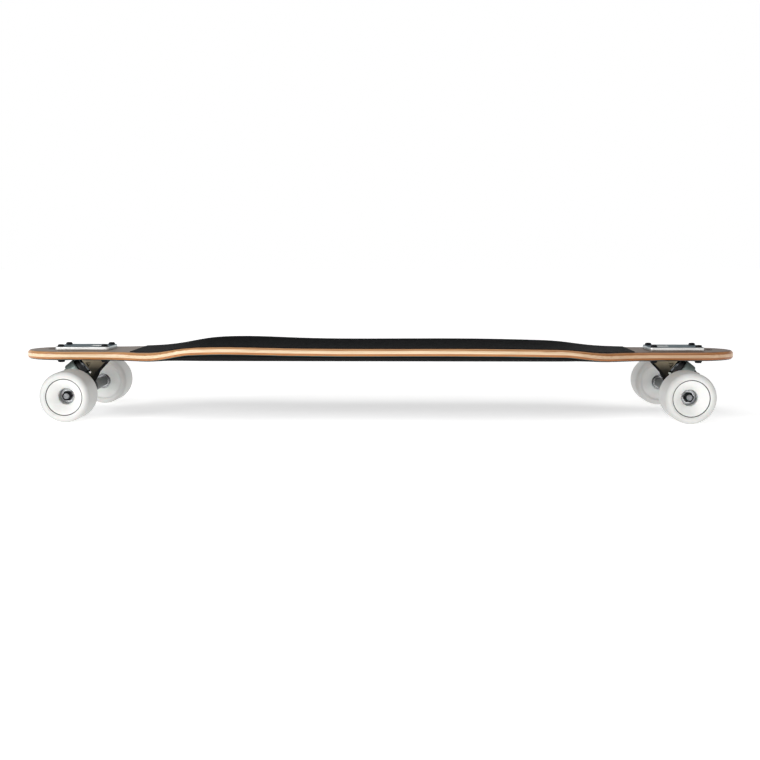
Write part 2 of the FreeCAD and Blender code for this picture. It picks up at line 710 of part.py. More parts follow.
def cut_race(body, side):
    """The ball groove of one bearing, cut as a ring of round section."""
    groove = body.newObject("PartDesign::SubtractiveTorus", "groove")
    groove.setExpression("Radius1", cell(PITCH))
    groove.setExpression("Radius2", cell(GROOVE))
    groove.Placement = Placement(Y_AXIS * (side * bearing_middle), Rotation(Z_AXIS, Y_AXIS))


def build_wheel(name, centre):
    """Urethane tyre cast on a hub, with two shielded ball bearings and the spacer between them."""
    tyre = new_body(f"{name}_tyre", centre)
    rim = "wheel_width / 2"
    hub_end = "hub_width / 2"
    hub_out = f"{hub_end} - core_offset + fit_clearance"
    hub_in = f"0 - ( {hub_end} + core_offset + fit_clearance )"
    turn(tyre, [("hub_radius + fit_clearance", hub_out), ("wheel_mouth_radius", hub_out),
                ("wheel_mouth_radius", f"{rim} - wheel_cone_depth"),
                ("wheel_dish_radius", f"{rim} - wheel_dish_depth"),
                ("wheel_dish_radius + wheel_dish_slope", rim), ("wheel_radius", rim),
                ("wheel_radius", f"0 - {rim}"), ("wheel_dish_radius + wheel_dish_slope", f"0 - {rim}"),
                ("wheel_dish_radius", f"wheel_dish_depth - {rim}"),
                ("wheel_mouth_radius", f"wheel_dish_depth - {rim}"),
                ("wheel_mouth_radius", hub_in), ("hub_radius + fit_clearance", hub_in)])
    lip = size.wheel_radius - size.wheel_lip_round / 2
    round_edges(tyre, "wheel_lip_round", lambda edge: edge.BoundBox.XMax > lip
                and edge.BoundBox.YLength < size.wheel_lip_round)
    core = centre * Placement(Y_AXIS * -size.core_offset, Rotation())
    hub = new_body(f"{name}_hub", core)
    groove_low = "hub_width / 4 - hub_groove_width / 2"
    groove_high = "hub_width / 4 + hub_groove_width / 2"
    half = [("hub_shoulder_radius", NEAR), ("bearing_radius + fit_clearance", NEAR),
            ("bearing_radius + fit_clearance", hub_end), ("hub_radius", hub_end), ("hub_radius", groove_high),
            ("hub_radius - hub_groove_depth", groove_high), ("hub_radius - hub_groove_depth", groove_low),
            ("hub_radius", groove_low)]
    turn(hub, half + list(reversed(mirror_places(half, -1))))
    outer = new_body(f"{name}_bearing_outer_rings", core)
    inner = new_body(f"{name}_bearing_inner_rings", core)
    shields = new_body(f"{name}_bearing_shields", core)
    balls = new_body(f"{name}_bearing_balls", core)
    for side in (-1, 1):
        near = f"{NEAR} + fit_clearance"
        turn(outer, mirror_places([("outer_ring_bore", near), ("bearing_radius", near),
                                   ("bearing_radius", FAR),
                                   ("outer_ring_bore", FAR)], side))
        cut_race(outer, side)
        turn(inner, mirror_places([("axle_radius", near), ("inner_ring_radius", near),
                                   ("inner_ring_radius", FAR), ("axle_radius", FAR)], side))
        cut_race(inner, side)
        for low in (f"{NEAR} + shield_recess", f"{FAR} - shield_recess - shield_thickness"):
            bore = "inner_ring_radius + shield_gap"
            edge = "outer_ring_bore - fit_clearance"
            turn(shields, mirror_places([(bore, low), (edge, low), (edge, f"{low} + shield_thickness"),
                                         (bore, f"{low} + shield_thickness")], side))
        for number in range(BALLS_PER_BEARING):
            angle = 2 * math.pi * number / BALLS_PER_BEARING
            ball = balls.newObject("PartDesign::AdditiveSphere", "ball")
            ball.setExpression("Radius", cell("ball_radius"))
            ball.Placement = Placement(Vector(pitch_radius * math.cos(angle), side * bearing_middle,
                                              pitch_radius * math.sin(angle)), Rotation())
    spacer = new_body(f"{name}_bearing_spacer", core)
    turn(spacer, [("axle_radius", f"0 - ( {NEAR} )"), ("spacer_radius", f"0 - ( {NEAR} )"),
                  ("spacer_radius", NEAR), ("axle_radius", NEAR)])


for end, turned in ((-1, 0.0), (1, HALF_TURN)):
    name = "front" if end < 0 else "rear"
    place = Placement(Vector(end * truck_centre, 0, deck_top), Rotation(Z_AXIS, turned))
    build_baseplate(name, place)
    build_pivot_cup(name, place)
    build_kingpin(name, place)
    build_bushings(name, place)
    build_bolts(name, place)
    build_hanger(name, place)
    build_axle(name, place)
    for side, hand in ((-1, "left"), (1, "right")):
        outward = Rotation() if side > 0 else Rotation(Z_AXIS, HALF_TURN)
        spot = Vector(end * axle_place, side * wheel_centre, size.wheel_radius)
        build_wheel(f"{name}_{hand}", Placement(spot, outward))

doc.recompute()

# Every object has to be sound before anything is written.
failed = [item.Name for item in doc.Objects if "Invalid" in item.State or "Error" in item.State]
if failed:
    raise RuntimeError(f"failed objects: {failed}")
for node in nodes:
    if node.Shape.isNull() or not node.Shape.isValid():
        raise RuntimeError(f"bad shape: {node.Label}")

os.makedirs("parts", exist_ok=True)
for node in nodes:
    node.Shape.exportStep(f"parts/{node.Label}.step")
    print(f"{node.Label}: {len(node.Shape.Solids)} solids, {node.Shape.Volume:.1f} mm3")
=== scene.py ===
"""A drop-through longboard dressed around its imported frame: pressed deck, grip tape, trucks and wheels."""
import bmesh
import bpy
import numpy as np
from math import cos, pi, radians, sin
from mathutils import Matrix, Vector


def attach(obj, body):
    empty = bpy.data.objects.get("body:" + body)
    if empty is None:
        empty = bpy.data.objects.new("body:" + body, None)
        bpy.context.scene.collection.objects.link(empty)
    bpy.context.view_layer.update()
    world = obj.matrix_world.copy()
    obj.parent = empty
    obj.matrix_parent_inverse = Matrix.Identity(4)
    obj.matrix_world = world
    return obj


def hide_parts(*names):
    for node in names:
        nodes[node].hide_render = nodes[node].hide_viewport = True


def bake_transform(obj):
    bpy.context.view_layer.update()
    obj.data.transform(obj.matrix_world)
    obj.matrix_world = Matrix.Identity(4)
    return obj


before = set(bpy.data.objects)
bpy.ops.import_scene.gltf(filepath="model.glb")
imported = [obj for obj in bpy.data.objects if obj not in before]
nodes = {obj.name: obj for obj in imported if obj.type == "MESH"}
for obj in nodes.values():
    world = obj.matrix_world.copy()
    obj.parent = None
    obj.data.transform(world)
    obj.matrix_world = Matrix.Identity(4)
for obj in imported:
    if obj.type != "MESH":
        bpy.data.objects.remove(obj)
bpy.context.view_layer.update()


# Deck: maple plies glued and pressed in a mould, cut to a drop-through outline and bullnosed with a router.
# The edge is left bare under clear lacquer so that the plies show; the underside is sprayed a dark colour.
# Each end is drilled once so that the board can be hung up.
DECK_TOP = 0.091
DECK_THICKNESS = 0.0126
BOWL_DEPTH = 0.0035
BOWL_RADIUS = 0.370
# The bowl is full up to the first distance from mid-deck, and the deck is flat from the second.
BOWL_FULL_AT = 0.2570
BOWL_FLAT_AT = 0.3415
# Tones from the top face to the underside, by share of PLY_REACH thicknesses.
# The pale middle plies are partly the wood's own tone and partly a painted highlight along the bullnose.
PLY_REACH = 1.05
PLY_TONES_AND_HIGHLIGHT = [
    (0.02, "8A7F76"), (0.05, "C8986A"), (0.17, "D09A68"), (0.235, "A06840"), (0.30, "E0B282"),
    (0.38, "F6E0C0"), (0.50, "F2D6AE"), (0.60, "F7E3C6"), (0.68, "E6B888"), (0.735, "9A5E34"),
    (0.80, "CE8C52"), (0.90, "B87440"), (0.93, "4A7A76"), (0.965, "16282A"), (1.0, "0A0B0C")]
# Fibres about 60 mm long, 3.5 mm wide and 1.2 mm thick; ply lines wander with them by this share.
FIBRE_SIZE = (0.060, 0.0035, 0.0012)
FIBRE_WANDER = 0.10
FIBRE_TONES = [(0.30, "B8A28C"), (0.62, "FFFFFF")]
FIBRE_SHARE = 0.5
FIBRE_RELIEF = {"Strength": 0.10, "Distance": 0.0003}
FIBRE_ROUGH = (0.34, 0.52)
SPRAYED_ROUGH = 0.95
# Lacquer starts below the rubbed top face and ends above the sprayed underside.
LACQUER_STARTS = (0.02, 0.09)
LACQUER_ENDS = (0.94, 1.0)
LACQUER_WEIGHT = 0.6
LACQUER_ROUGH = 0.12
TAIL_SHADE_FROM = 0.15
TAIL_SHADE_FULL = 0.40
HOLE_X = 0.479
HOLE_RADIUS = 0.0056
HOLE_SHADE_WIDTH = 0.0015


def linear(code):
    """sRGB hex to linear light: each channel c becomes ((c + 0.055) / 1.055) ** 2.4, or c / 12.92 when dark."""
    channels = [int(code[place:place + 2], 16) / 255 for place in (0, 2, 4)]
    return tuple(c / 12.92 if c <= 0.04045 else ((c + 0.055) / 1.055) ** 2.4 for c in channels) + (1.0,)


def add(tree, kind, feed=None, stops=None, **settings):
    """One node: settings are its own properties, feed its inputs by name or number, stops a ramp's colours."""
    made = tree.nodes.new(kind)
    for name, value in settings.items():
        setattr(made, name, value)
    for name, value in (feed or {}).items():
        if isinstance(value, bpy.types.NodeSocket):
            tree.links.new(value, made.inputs[name])
        else:
            made.inputs[name].default_value = value
    if stops:
        elements = made.color_ramp.elements
        while len(elements) < len(stops):
            elements.new(0.5)
        for element, (place, code) in zip(elements, stops):
            element.position = place
            element.color = linear(code)
    return made


def start_material(name, **constants):
    """A named material with the given plain inputs, and its tree, shader and Object coordinates."""
    made = bpy.data.materials.new(name)
    made.use_nodes = True
    shader = made.node_tree.nodes["Principled BSDF"]
    for label, value in constants.items():
        shader.inputs[label.replace("_", " ")].default_value = value
    place = add(made.node_tree, "ShaderNodeTexCoord").outputs["Object"]
    return made, made.node_tree, shader, place


def dress(material, *names):
    """Give CAD nodes one material in every slot."""
    for name in names:
        mesh = nodes[name].data
        mesh.materials.clear()
        mesh.materials.append(material)


# Lacquered maple plywood: the coat gives a sharp highlight over soft grain that runs along the board.
# Ply depth is measured down from the pressed top face, so the layers follow the bowl round the rail.
maple, tree, shader, place = start_material("lacquered maple plies", IOR=1.5, Specular_IOR_Level=0.07,
                                            Coat_Roughness=LACQUER_ROUGH)
axes = add(tree, "ShaderNodeSeparateXYZ", {"Vector": place}).outputs
along = add(tree, "ShaderNodeMath", {0: axes["X"]}, operation="ABSOLUTE")
bowl = add(tree, "ShaderNodeMapRange", {
    "Value": along.outputs[0], "From Min": BOWL_FULL_AT, "From Max": BOWL_FLAT_AT, "To Min": 1.0,
    "To Max": 0.0}, interpolation_type="SMOOTHSTEP")
square = add(tree, "ShaderNodeMath", {0: axes["Y"], 1: axes["Y"]}, operation="MULTIPLY")
trough = add(tree, "ShaderNodeMath", {0: square.outputs[0], 1: 0.5 / BOWL_RADIUS, 2: -BOWL_DEPTH},
             operation="MULTIPLY_ADD")
top = add(tree, "ShaderNodeMath", {0: trough.outputs[0], 1: bowl.outputs[0], 2: DECK_TOP},
          operation="MULTIPLY_ADD")
depth = add(tree, "ShaderNodeMath", {0: top.outputs[0], 1: axes["Z"]}, operation="SUBTRACT")
share = add(tree, "ShaderNodeMath", {0: depth.outputs[0], 1: PLY_REACH / DECK_THICKNESS}, operation="MULTIPLY")
fibre_way = add(tree, "ShaderNodeMapping", {"Vector": place, "Scale": [1 / size for size in FIBRE_SIZE]})
fibre = add(tree, "ShaderNodeTexNoise", {
    "Vector": fibre_way.outputs[0], "Scale": 1.0, "Detail": 4.0, "Roughness": 0.6}).outputs["Fac"]
wander = add(tree, "ShaderNodeMath", {0: fibre, 1: FIBRE_WANDER, 2: -FIBRE_WANDER / 2},
             operation="MULTIPLY_ADD")
layer = add(tree, "ShaderNodeMath", {0: share.outputs[0], 1: wander.outputs[0]}, operation="ADD")
plies = add(tree, "ShaderNodeValToRGB", {"Fac": layer.outputs[0]}, stops=PLY_TONES_AND_HIGHLIGHT)
streak = add(tree, "ShaderNodeValToRGB", {"Fac": fibre}, stops=FIBRE_TONES)
wood = add(tree, "ShaderNodeMix", {"Factor": FIBRE_SHARE, "A": plies.outputs[0], "B": streak.outputs[0]},
           data_type="RGBA", blend_type="MULTIPLY")
# The wood is painted darker and browner towards the tail: painted shade where the key light falls off.
tail_shade = add(tree, "ShaderNodeMapRange", {"Value": axes["X"], "From Min": TAIL_SHADE_FROM, "From Max": TAIL_SHADE_FULL},
            interpolation_type="SMOOTHSTEP")
tail_shaded = add(tree, "ShaderNodeMix", {
    "Factor": tail_shade.outputs[0], "A": wood.outputs["Result"], "B": linear("DDCFC8")},
    data_type="RGBA", blend_type="MULTIPLY")
# The wall and rim of each hanging hole are painted dark brown: painted shade inside the hole.
mirrored = add(tree, "ShaderNodeVectorMath", {0: place}, operation="ABSOLUTE")
from_hole = add(tree, "ShaderNodeVectorMath", {0: mirrored.outputs[0], 1: (HOLE_X, 0, 0)}, operation="SUBTRACT")
across_hole = add(tree, "ShaderNodeVectorMath", {0: from_hole.outputs[0], 1: (1, 1, 0)}, operation="MULTIPLY")
hole_reach = add(tree, "ShaderNodeVectorMath", {0: across_hole.outputs[0]}, operation="LENGTH")
hole_shade = add(tree, "ShaderNodeMapRange", {
    "Value": hole_reach.outputs["Value"], "From Min": HOLE_RADIUS, "From Max": HOLE_RADIUS + HOLE_SHADE_WIDTH,
    "To Min": 1.0, "To Max": 0.0})
hole_shaded = add(tree, "ShaderNodeMix", {
    "Factor": hole_shade.outputs[0], "A": tail_shaded.outputs["Result"], "B": linear("2E1B0E")}, data_type="RGBA")
tree.links.new(hole_shaded.outputs["Result"], shader.inputs["Base Color"])
# The top face is rubbed down for the grip and the underside is sprayed, so only the edge has the full coat.
edge_in = add(tree, "ShaderNodeMapRange", {
    "Value": layer.outputs[0], "From Min": LACQUER_STARTS[0], "From Max": LACQUER_STARTS[1]})
edge_out = add(tree, "ShaderNodeMapRange", {
    "Value": layer.outputs[0], "From Min": LACQUER_ENDS[0], "From Max": LACQUER_ENDS[1], "To Min": 1.0,
    "To Max": 0.0})
edge = add(tree, "ShaderNodeMath", {0: edge_in.outputs[0], 1: edge_out.outputs[0]}, operation="MULTIPLY")
coat = add(tree, "ShaderNodeMapRange", {"Value": edge.outputs[0], "To Min": 0.0, "To Max": LACQUER_WEIGHT})
gloss = add(tree, "ShaderNodeMapRange", {"Value": fibre, "To Min": FIBRE_ROUGH[0], "To Max": FIBRE_ROUGH[1]})
dull = add(tree, "ShaderNodeMapRange", {
    "Value": edge_out.outputs[0], "To Min": SPRAYED_ROUGH, "To Max": gloss.outputs[0]})
relief = add(tree, "ShaderNodeBump", {"Height": fibre, **FIBRE_RELIEF})
tree.links.new(coat.outputs[0], shader.inputs["Coat Weight"])
tree.links.new(dull.outputs[0], shader.inputs["Roughness"])
tree.links.new(relief.outputs[0], shader.inputs["Normal"])
dress(maple, "deck")


# Grip tape: black silicon-carbide grit bonded to a film, rolled on to the bowl and cut across at each end.
# The grit is really 0.2 mm; it is drawn at 1.4 mm so that it shows at this distance.
# Clouds about 45 mm across keep the black from being even.
GRIT_DRAWN = 0.0014
GRIT_SHARE = 0.6
GRIT_ROUGH = (0.62, 0.9)
GRIT_RELIEF = {"Strength": 0.5, "Distance": 0.0004}
GRIP_CLOUD = 0.045
CLOUD_SHARE = 0.5
grit, tree, shader, place = start_material("black abrasive grip", IOR=1.5, Specular_IOR_Level=0.12)
grain = add(tree, "ShaderNodeTexVoronoi", {"Vector": place, "Scale": 1 / GRIT_DRAWN}).outputs
patch = add(tree, "ShaderNodeTexNoise", {"Vector": place, "Scale": 1 / GRIP_CLOUD, "Detail": 3.0})
specks = add(tree, "ShaderNodeMath", {0: grain["Color"], 1: GRIT_SHARE}, operation="MULTIPLY")
mottle = add(tree, "ShaderNodeMath", {0: patch.outputs["Fac"], 1: CLOUD_SHARE, 2: specks.outputs[0]},
             operation="MULTIPLY_ADD")
black = add(tree, "ShaderNodeValToRGB", {"Fac": mottle.outputs[0]},
            stops=[(0.2, "040506"), (0.6, "090A0B"), (0.95, "131416")])
rough = add(tree, "ShaderNodeMapRange", {
    "Value": grain["Distance"], "To Min": GRIT_ROUGH[0], "To Max": GRIT_ROUGH[1]})
relief = add(tree, "ShaderNodeBump", {"Height": grain["Distance"], **GRIT_RELIEF}, invert=True)
tree.links.new(black.outputs[0], shader.inputs["Base Color"])
tree.links.new(rough.outputs[0], shader.inputs["Roughness"])
tree.links.new(relief.outputs[0], shader.inputs["Normal"])
dress(grit, "grip_tape")


# Baseplates: aluminium cast in a metal mould, tumbled to take off the flash, machined at the seat and the top.
# Each is a copy of its CAD solid with an even skin that is relaxed, so its corners become the mould's fillets.
TRUCK_END = {"front": -1, "rear": 1}
PLATE_SKIN = 0.0007
PLATE_RELAX = 5
PLATE_TOP = 0.0965
WEDGE_LOW = 0.045
# The slope's plane, mirrored to one end: its normal, its distance from the origin, and where its painted shade
# fades.
SLOPE_NORMAL = (0.731, 0.0, 0.683)
SLOPE_AT = 0.33996
SHADE_THIN = 0.0004
SHADE_GONE = 0.0016
CAST_CLOUD = 0.012
CAST_DINT = 0.0008
CAST_RELIEF = {"Strength": 0.25, "Distance": 0.0002}
CREASE = radians(38.0)
WELD = 1e-7


def cast_metal(name, tones, rough, low, high, light_bands, **constants):
    """A tumbled casting's material, with its tree, shader, Object coordinates and colour.
    The colour is a cloudy tone times painted light and shade in bands from one height to another; dints give
    the relief."""
    made, tree, shader, place = start_material(name, **constants)
    cloud = add(tree, "ShaderNodeTexNoise", {
        "Vector": place, "Scale": 1 / CAST_CLOUD, "Detail": 5.0, "Roughness": 0.65}).outputs["Fac"]
    dint = add(tree, "ShaderNodeTexNoise", {"Vector": place, "Scale": 1 / CAST_DINT, "Detail": 2.0})
    tone = add(tree, "ShaderNodeValToRGB", {"Fac": cloud}, stops=tones)
    height = add(tree, "ShaderNodeSeparateXYZ", {"Vector": place}).outputs["Z"]
    band_height = add(tree, "ShaderNodeMapRange", {"Value": height, "From Min": low, "From Max": high})
    painted_light = add(tree, "ShaderNodeValToRGB", {"Fac": band_height.outputs[0]}, stops=light_bands)
    colour = add(tree, "ShaderNodeMix", {"Factor": 1.0, "A": tone.outputs[0], "B": painted_light.outputs[0]},
                 data_type="RGBA", blend_type="MULTIPLY")
    sheen = add(tree, "ShaderNodeMapRange", {"Value": cloud, "To Min": rough[0], "To Max": rough[1]})
    relief = add(tree, "ShaderNodeBump", {"Height": dint.outputs["Fac"], **CAST_RELIEF})
    tree.links.new(sheen.outputs[0], shader.inputs["Roughness"])
    tree.links.new(relief.outputs[0], shader.inputs["Normal"])
    return made, tree, shader, place, colour.outputs["Result"]


# Tumbled cast aluminium: a soft sheen with fine dints about 0.8 mm across, with painted light by height.
# The flange's rim is painted white as a painted highlight, its top blue-grey as a painted reflection, and the
# wedge dark below as painted shade.
alloy, tree, shader, place, lit_cast_tone = cast_metal(
    "tumbled cast aluminium", [(0.3, "E6E5E2"), (0.7, "F6F6F4")], (0.26, 0.46), WEDGE_LOW, PLATE_TOP,
    [(0.0, "1E1E1C"), (0.34, "46433C"), (0.62, "A89C86"), (0.84, "A89C86"), (0.88, "FFFFFF"),
     (0.982, "FFFFFF"), (0.997, "7E868B")],
    Specular_IOR_Level=0.0, Specular_Tint=linear("A4B2B9"))
# The slope that faces mid-deck and the hook below it are painted near-black and not metallic, as painted shade.
folded = add(tree, "ShaderNodeVectorMath", {0: place}, operation="ABSOLUTE")
inside = add(tree, "ShaderNodeVectorMath", {0: folded.outputs[0], 1: SLOPE_NORMAL}, operation="DOT_PRODUCT")
under = add(tree, "ShaderNodeMapRange", {
    "Value": inside.outputs["Value"], "From Min": SLOPE_AT + SHADE_THIN,
    "From Max": SLOPE_AT + SHADE_GONE, "To Min": 1.0, "To Max": 0.0})
slope_shaded = add(tree, "ShaderNodeMix", {"Factor": under.outputs[0], "A": lit_cast_tone, "B": linear("1C1C1B")},
              data_type="RGBA")
outside_slope_shade = add(tree, "ShaderNodeMath", {0: 1.0, 1: under.outputs[0]}, operation="SUBTRACT")
tree.links.new(slope_shaded.outputs["Result"], shader.inputs["Base Color"])
tree.links.new(outside_slope_shade.outputs[0], shader.inputs["Metallic"])


def finish_mesh(mesh, material):
    """Weld doubled points, face outwards, shade smooth with creases, and give the mesh its material."""
    shell = bmesh.new()
    shell.from_mesh(mesh)
    bmesh.ops.remove_doubles(shell, verts=shell.verts, dist=WELD)
    bmesh.ops.recalc_face_normals(shell, faces=shell.faces)
    shell.to_mesh(mesh)
    shell.free()
    mesh.shade_smooth()
    mesh.set_sharp_from_angle(angle=CREASE)
    mesh.materials.clear()
    mesh.materials.append(material)


def place_piece(name, mesh, stands_for):
    """An object for a finished mesh, which stands for CAD nodes."""
    piece = bpy.data.objects.new(name, mesh)
    bpy.context.scene.collection.objects.link(piece)
    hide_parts(*stands_for)
    return piece


def cast(node, material, voxel, relax):
    """A casting: a copy of a CAD node remeshed at one voxel size and relaxed halfway a number of times."""
    piece = place_piece(f"{node}_casting", nodes[node].data.copy(), [node])
    remesh = piece.modifiers.new("skin", "REMESH")
    remesh.mode = "VOXEL"
    remesh.voxel_size = voxel
    fillet = piece.modifiers.new("fillets", "SMOOTH")
    fillet.factor = 0.5
    fillet.iterations = relax
    shaped = bpy.data.meshes.new_from_object(piece.evaluated_get(bpy.context.evaluated_depsgraph_get()))
    piece.modifiers.clear()
    piece.data = shaped
    finish_mesh(shaped, material)
    return piece


for truck in TRUCK_END:
    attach(cast(f"{truck}_baseplate", alloy, PLATE_SKIN, PLATE_RELAX), "deck")


# Bushings: cast black urethane, one each side of the hanger's ring and bulged by the clamp.
# Each is a turned ring with eased rims.
# The pivot cups are moulded from the same stuff.
MM = 0.001
AXLE_X = 0.426
SEAT_SLOPE = radians(52.0)
RING_REACH = 0.0166
RING_HEIGHT = 0.0603
PLAIN, HEX, THREAD = 0, 1, 2
COLUMNS = 48
EASE_STEPS = 6
EASE_MOST = 0.48
THREAD_ROWS = 8
# Outlines in millimetres: radius, and distance below the ring's centre along the kingpin; then corner easing.
BOARDSIDE = [(4.86, -15.9), (12.3, -15.9), (12.7, -13.4), (13.2, -9.4), (12.7, -5.6), (12.4, -3.8),
             (4.86, -3.8)]
ROADSIDE = [(4.86, 9.3), (12.4, 9.3), (12.6, 11.2), (12.2, 14.5), (11.2, 18.0), (10.4, 21.3), (4.86, 21.3)]
BUSHING_EASE = [0.5, 1.0, 1.2, 1.8, 1.2, 1.0, 0.5]
# Each bushing's name and outline, and two places in millimetres on the same line, at its cup and at the ring.
BUSHING_HOLD = (("boardside", BOARDSIDE, -13.7, -5.0), ("roadside", ROADSIDE, 19.5, 10.5))


def mottled(name, grain, detail, tones, rough, **constants):
    """A material whose noise, of one grain in metres, runs between two tones and two roughnesses."""
    made, tree, shader, place = start_material(name, **constants)
    noise = add(tree, "ShaderNodeTexNoise", {
        "Vector": place, "Scale": 1 / grain, "Detail": detail}).outputs["Fac"]
    tone = add(tree, "ShaderNodeValToRGB", {"Fac": noise}, stops=tones)
    sheen = add(tree, "ShaderNodeMapRange", {"Value": noise, "To Min": rough[0], "To Max": rough[1]})
    tree.links.new(tone.outputs[0], shader.inputs["Base Color"])
    tree.links.new(sheen.outputs[0], shader.inputs["Roughness"])
    return made


# Moulded urethane: black and satin from the mould, with a faint bloom in patches of 6 mm.
urethane = mottled("moulded black urethane", grain=0.006, detail=3.0, rough=(0.35, 0.6),
                   tones=[(0.3, "0C0C0D"), (0.75, "1C1C1E")], IOR=1.5)
dress(urethane, *[f"{truck}_pivot_cup" for truck in TRUCK_END])


def rows(kind, corners):
    """Profile rows (radius, along, kind) that share one kind."""
    corners = np.array(corners, float)
    return np.column_stack([corners, np.full(len(corners), kind)])


def eased(corners, ease):
    """A closed outline whose corner c is (1-t)^2 a + 2t(1-t) c + t^2 b, with a and b ease away from c."""
    corners = np.array(corners, float)
    ends = []
    for shift in (1, -1):
        leg = np.roll(corners, shift, axis=0) - corners
        length = np.linalg.norm(leg, axis=1, keepdims=True)
        ends.append(corners + leg * np.minimum(np.reshape(ease, (-1, 1)) / length, EASE_MOST))
    t = np.linspace(0, 1, EASE_STEPS)[None, :, None]
    curve = (1 - t) ** 2 * ends[0][:, None] + 2 * t * (1 - t) * corners[:, None] + t ** 2 * ends[1][:, None]
    return rows(PLAIN, curve.reshape(-1, 2))


def threaded(radius, start, end, pitch):
    """Profile rows along a screw thread."""
    along = np.linspace(start, end, int(abs(end - start) / pitch * THREAD_ROWS))
    return rows(THREAD, np.column_stack([np.full_like(along, radius), along]))


def lathe(profile, foot, way, columns=COLUMNS, flats=1.0, pitch=1.0, groove=0.0):
    """Points foot + along * way + r(a) * (cos a * side + sin a * lift) over profile rows in mm and angles a.
    Hex rows have r = min(radius, flats / 2 / cos(a folded into a sixth)).
    Thread rows lose up to groove on a helix of one pitch."""
    way = np.array(way, float) / np.linalg.norm(way)
    side = np.cross(way, (0.0, 1.0, 0.0) if abs(way[1]) < 0.9 else (1.0, 0.0, 0.0))
    side /= np.linalg.norm(side)
    lift = np.cross(way, side)
    angle = np.linspace(0, 2 * pi, columns, endpoint=False)[None, :]
    radius, along, kind = (profile[:, number:number + 1] for number in range(3))
    flat = flats / 2 / np.cos((angle + pi / 6) % (pi / 3) - pi / 6)
    tooth = np.abs(2 * ((along / pitch - angle / (2 * pi)) % 1.0) - 1)
    cut = np.where(kind == THREAD, radius - groove * tooth, radius)
    reach = np.where(kind == HEX, np.minimum(radius, flat), cut)
    spokes = np.cos(angle)[..., None] * side + np.sin(angle)[..., None] * lift
    return np.array(foot) + MM * (along[..., None] * way + reach[..., None] * spokes)


def skin(name, grids, material, slot, *stands_for):
    """One object from grids of points that close both ways."""
    faces, start = [], 0
    for grid in grids:
        index = start + np.arange(grid.shape[0] * grid.shape[1]).reshape(grid.shape[:2])
        across = np.roll(index, -1, axis=1)
        corners = [index, across, np.roll(across, -1, axis=0), np.roll(index, -1, axis=0)]
        faces.append(np.stack(corners, axis=-1).reshape(-1, 4))
        start += index.size
    points = np.concatenate([grid.reshape(-1, 3) for grid in grids])
    mesh = bpy.data.meshes.new(name)
    mesh.from_pydata(points.tolist(), [], np.concatenate(faces).tolist())
    finish_mesh(mesh, material)
    return place_piece(name, mesh, stands_for)


def kingpin_line(truck):
    """The ring's centre and the way down the kingpin."""
    end = TRUCK_END[truck]
    return (np.array((end * (AXLE_X + RING_REACH), 0.0, RING_HEIGHT)),
            np.array((end * sin(SEAT_SLOPE), 0.0, -cos(SEAT_SLOPE))))


for truck in TRUCK_END:
    ring, down = kingpin_line(truck)
    for which, outline, cup_end, ring_end in BUSHING_HOLD:
        bushing = skin(f"{truck}_{which}_urethane", [lathe(eased(outline, BUSHING_EASE), ring, down)], urethane,
                       "black_urethane", f"{truck}_{which}_bushing")
        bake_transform(bushing)


# Cup washers: thin steel sheet pressed into a shallow cup and chrome plated.
# Each is a turned ring with a rolled lip, threaded on the kingpin outside its bushing.
BOARD_CUP = [(4.86, -17.5), (14.0, -17.5), (14.0, -13.7), (12.9, -13.7), (12.9, -15.9), (4.86, -15.9)]
ROAD_CUP = [(4.86, 22.9), (12.28, 22.9), (12.28, 19.1), (11.18, 19.1), (11.18, 21.3), (4.86, 21.3)]
CUP_EASE = [0.3, 1.5, 0.5, 0.5, 0.8, 0.3]
# Chrome plate: a grey mirror, hardly blurred, with handling smears about 5 mm across.
chrome = mottled("chrome plate", grain=0.005, detail=3.0, rough=(0.08, 0.2),
                 tones=[(0.3, "606366"), (0.8, "7C7F82")], Metallic=1.0)
for truck in TRUCK_END:
    ring, down = kingpin_line(truck)
    grids = [lathe(eased(outline, CUP_EASE), ring, down) for outline in (BOARD_CUP, ROAD_CUP)]
    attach(skin(f"{truck}_pressed_cups", grids, chrome, "chromed_steel", f"{truck}_cup_washers"), "deck")


# Kingpins and their locknuts: a forged hex-headed bolt with a rolled thread, clamped by a nut with a collar.
# Each holds the hanger's ring, bushings and cups to the baseplate's slanted seat.
KINGPIN_TOP = [(0, -40.0)]
KINGPIN_HEAD = [(6.6, -40.0), (7.15, -39.8), (7.7, -39.5), (8.3, -39.1), (8.3, -34.0)]
KINGPIN_STEM = [(4.76, -34.0), (4.76, 18.0)]
# Threads in millimetres: radius, start and end along the bolt, and pitch.
KINGPIN_THREAD = (4.76, 18.0, 33.9, 1.06)
KINGPIN_GROOVE = 0.55
KINGPIN_TIP = [(4.2, 34.1), (3.9, 34.4), (0, 34.4)]
KINGPIN_FLATS = 14.3
KINGPIN_NUT_AT = 22.9
# Nuts in millimetres: bore radius, width over the flats and height.
KINGPIN_NUT = (4.79, KINGPIN_FLATS, 9.0)
# A locknut's outline: shares of half its flats, and of its height.
NUT_HEX = [(0.96, 0.0), (1.02, 0.02), (1.09, 0.05), (1.16, 0.09), (1.16, 0.58), (1.09, 0.62), (1.02, 0.65)]
NUT_COLLAR = [(0.98, 0.67), (0.97, 0.88), (0.94, 0.95), (0.88, 0.99), (0.82, 1.0)]
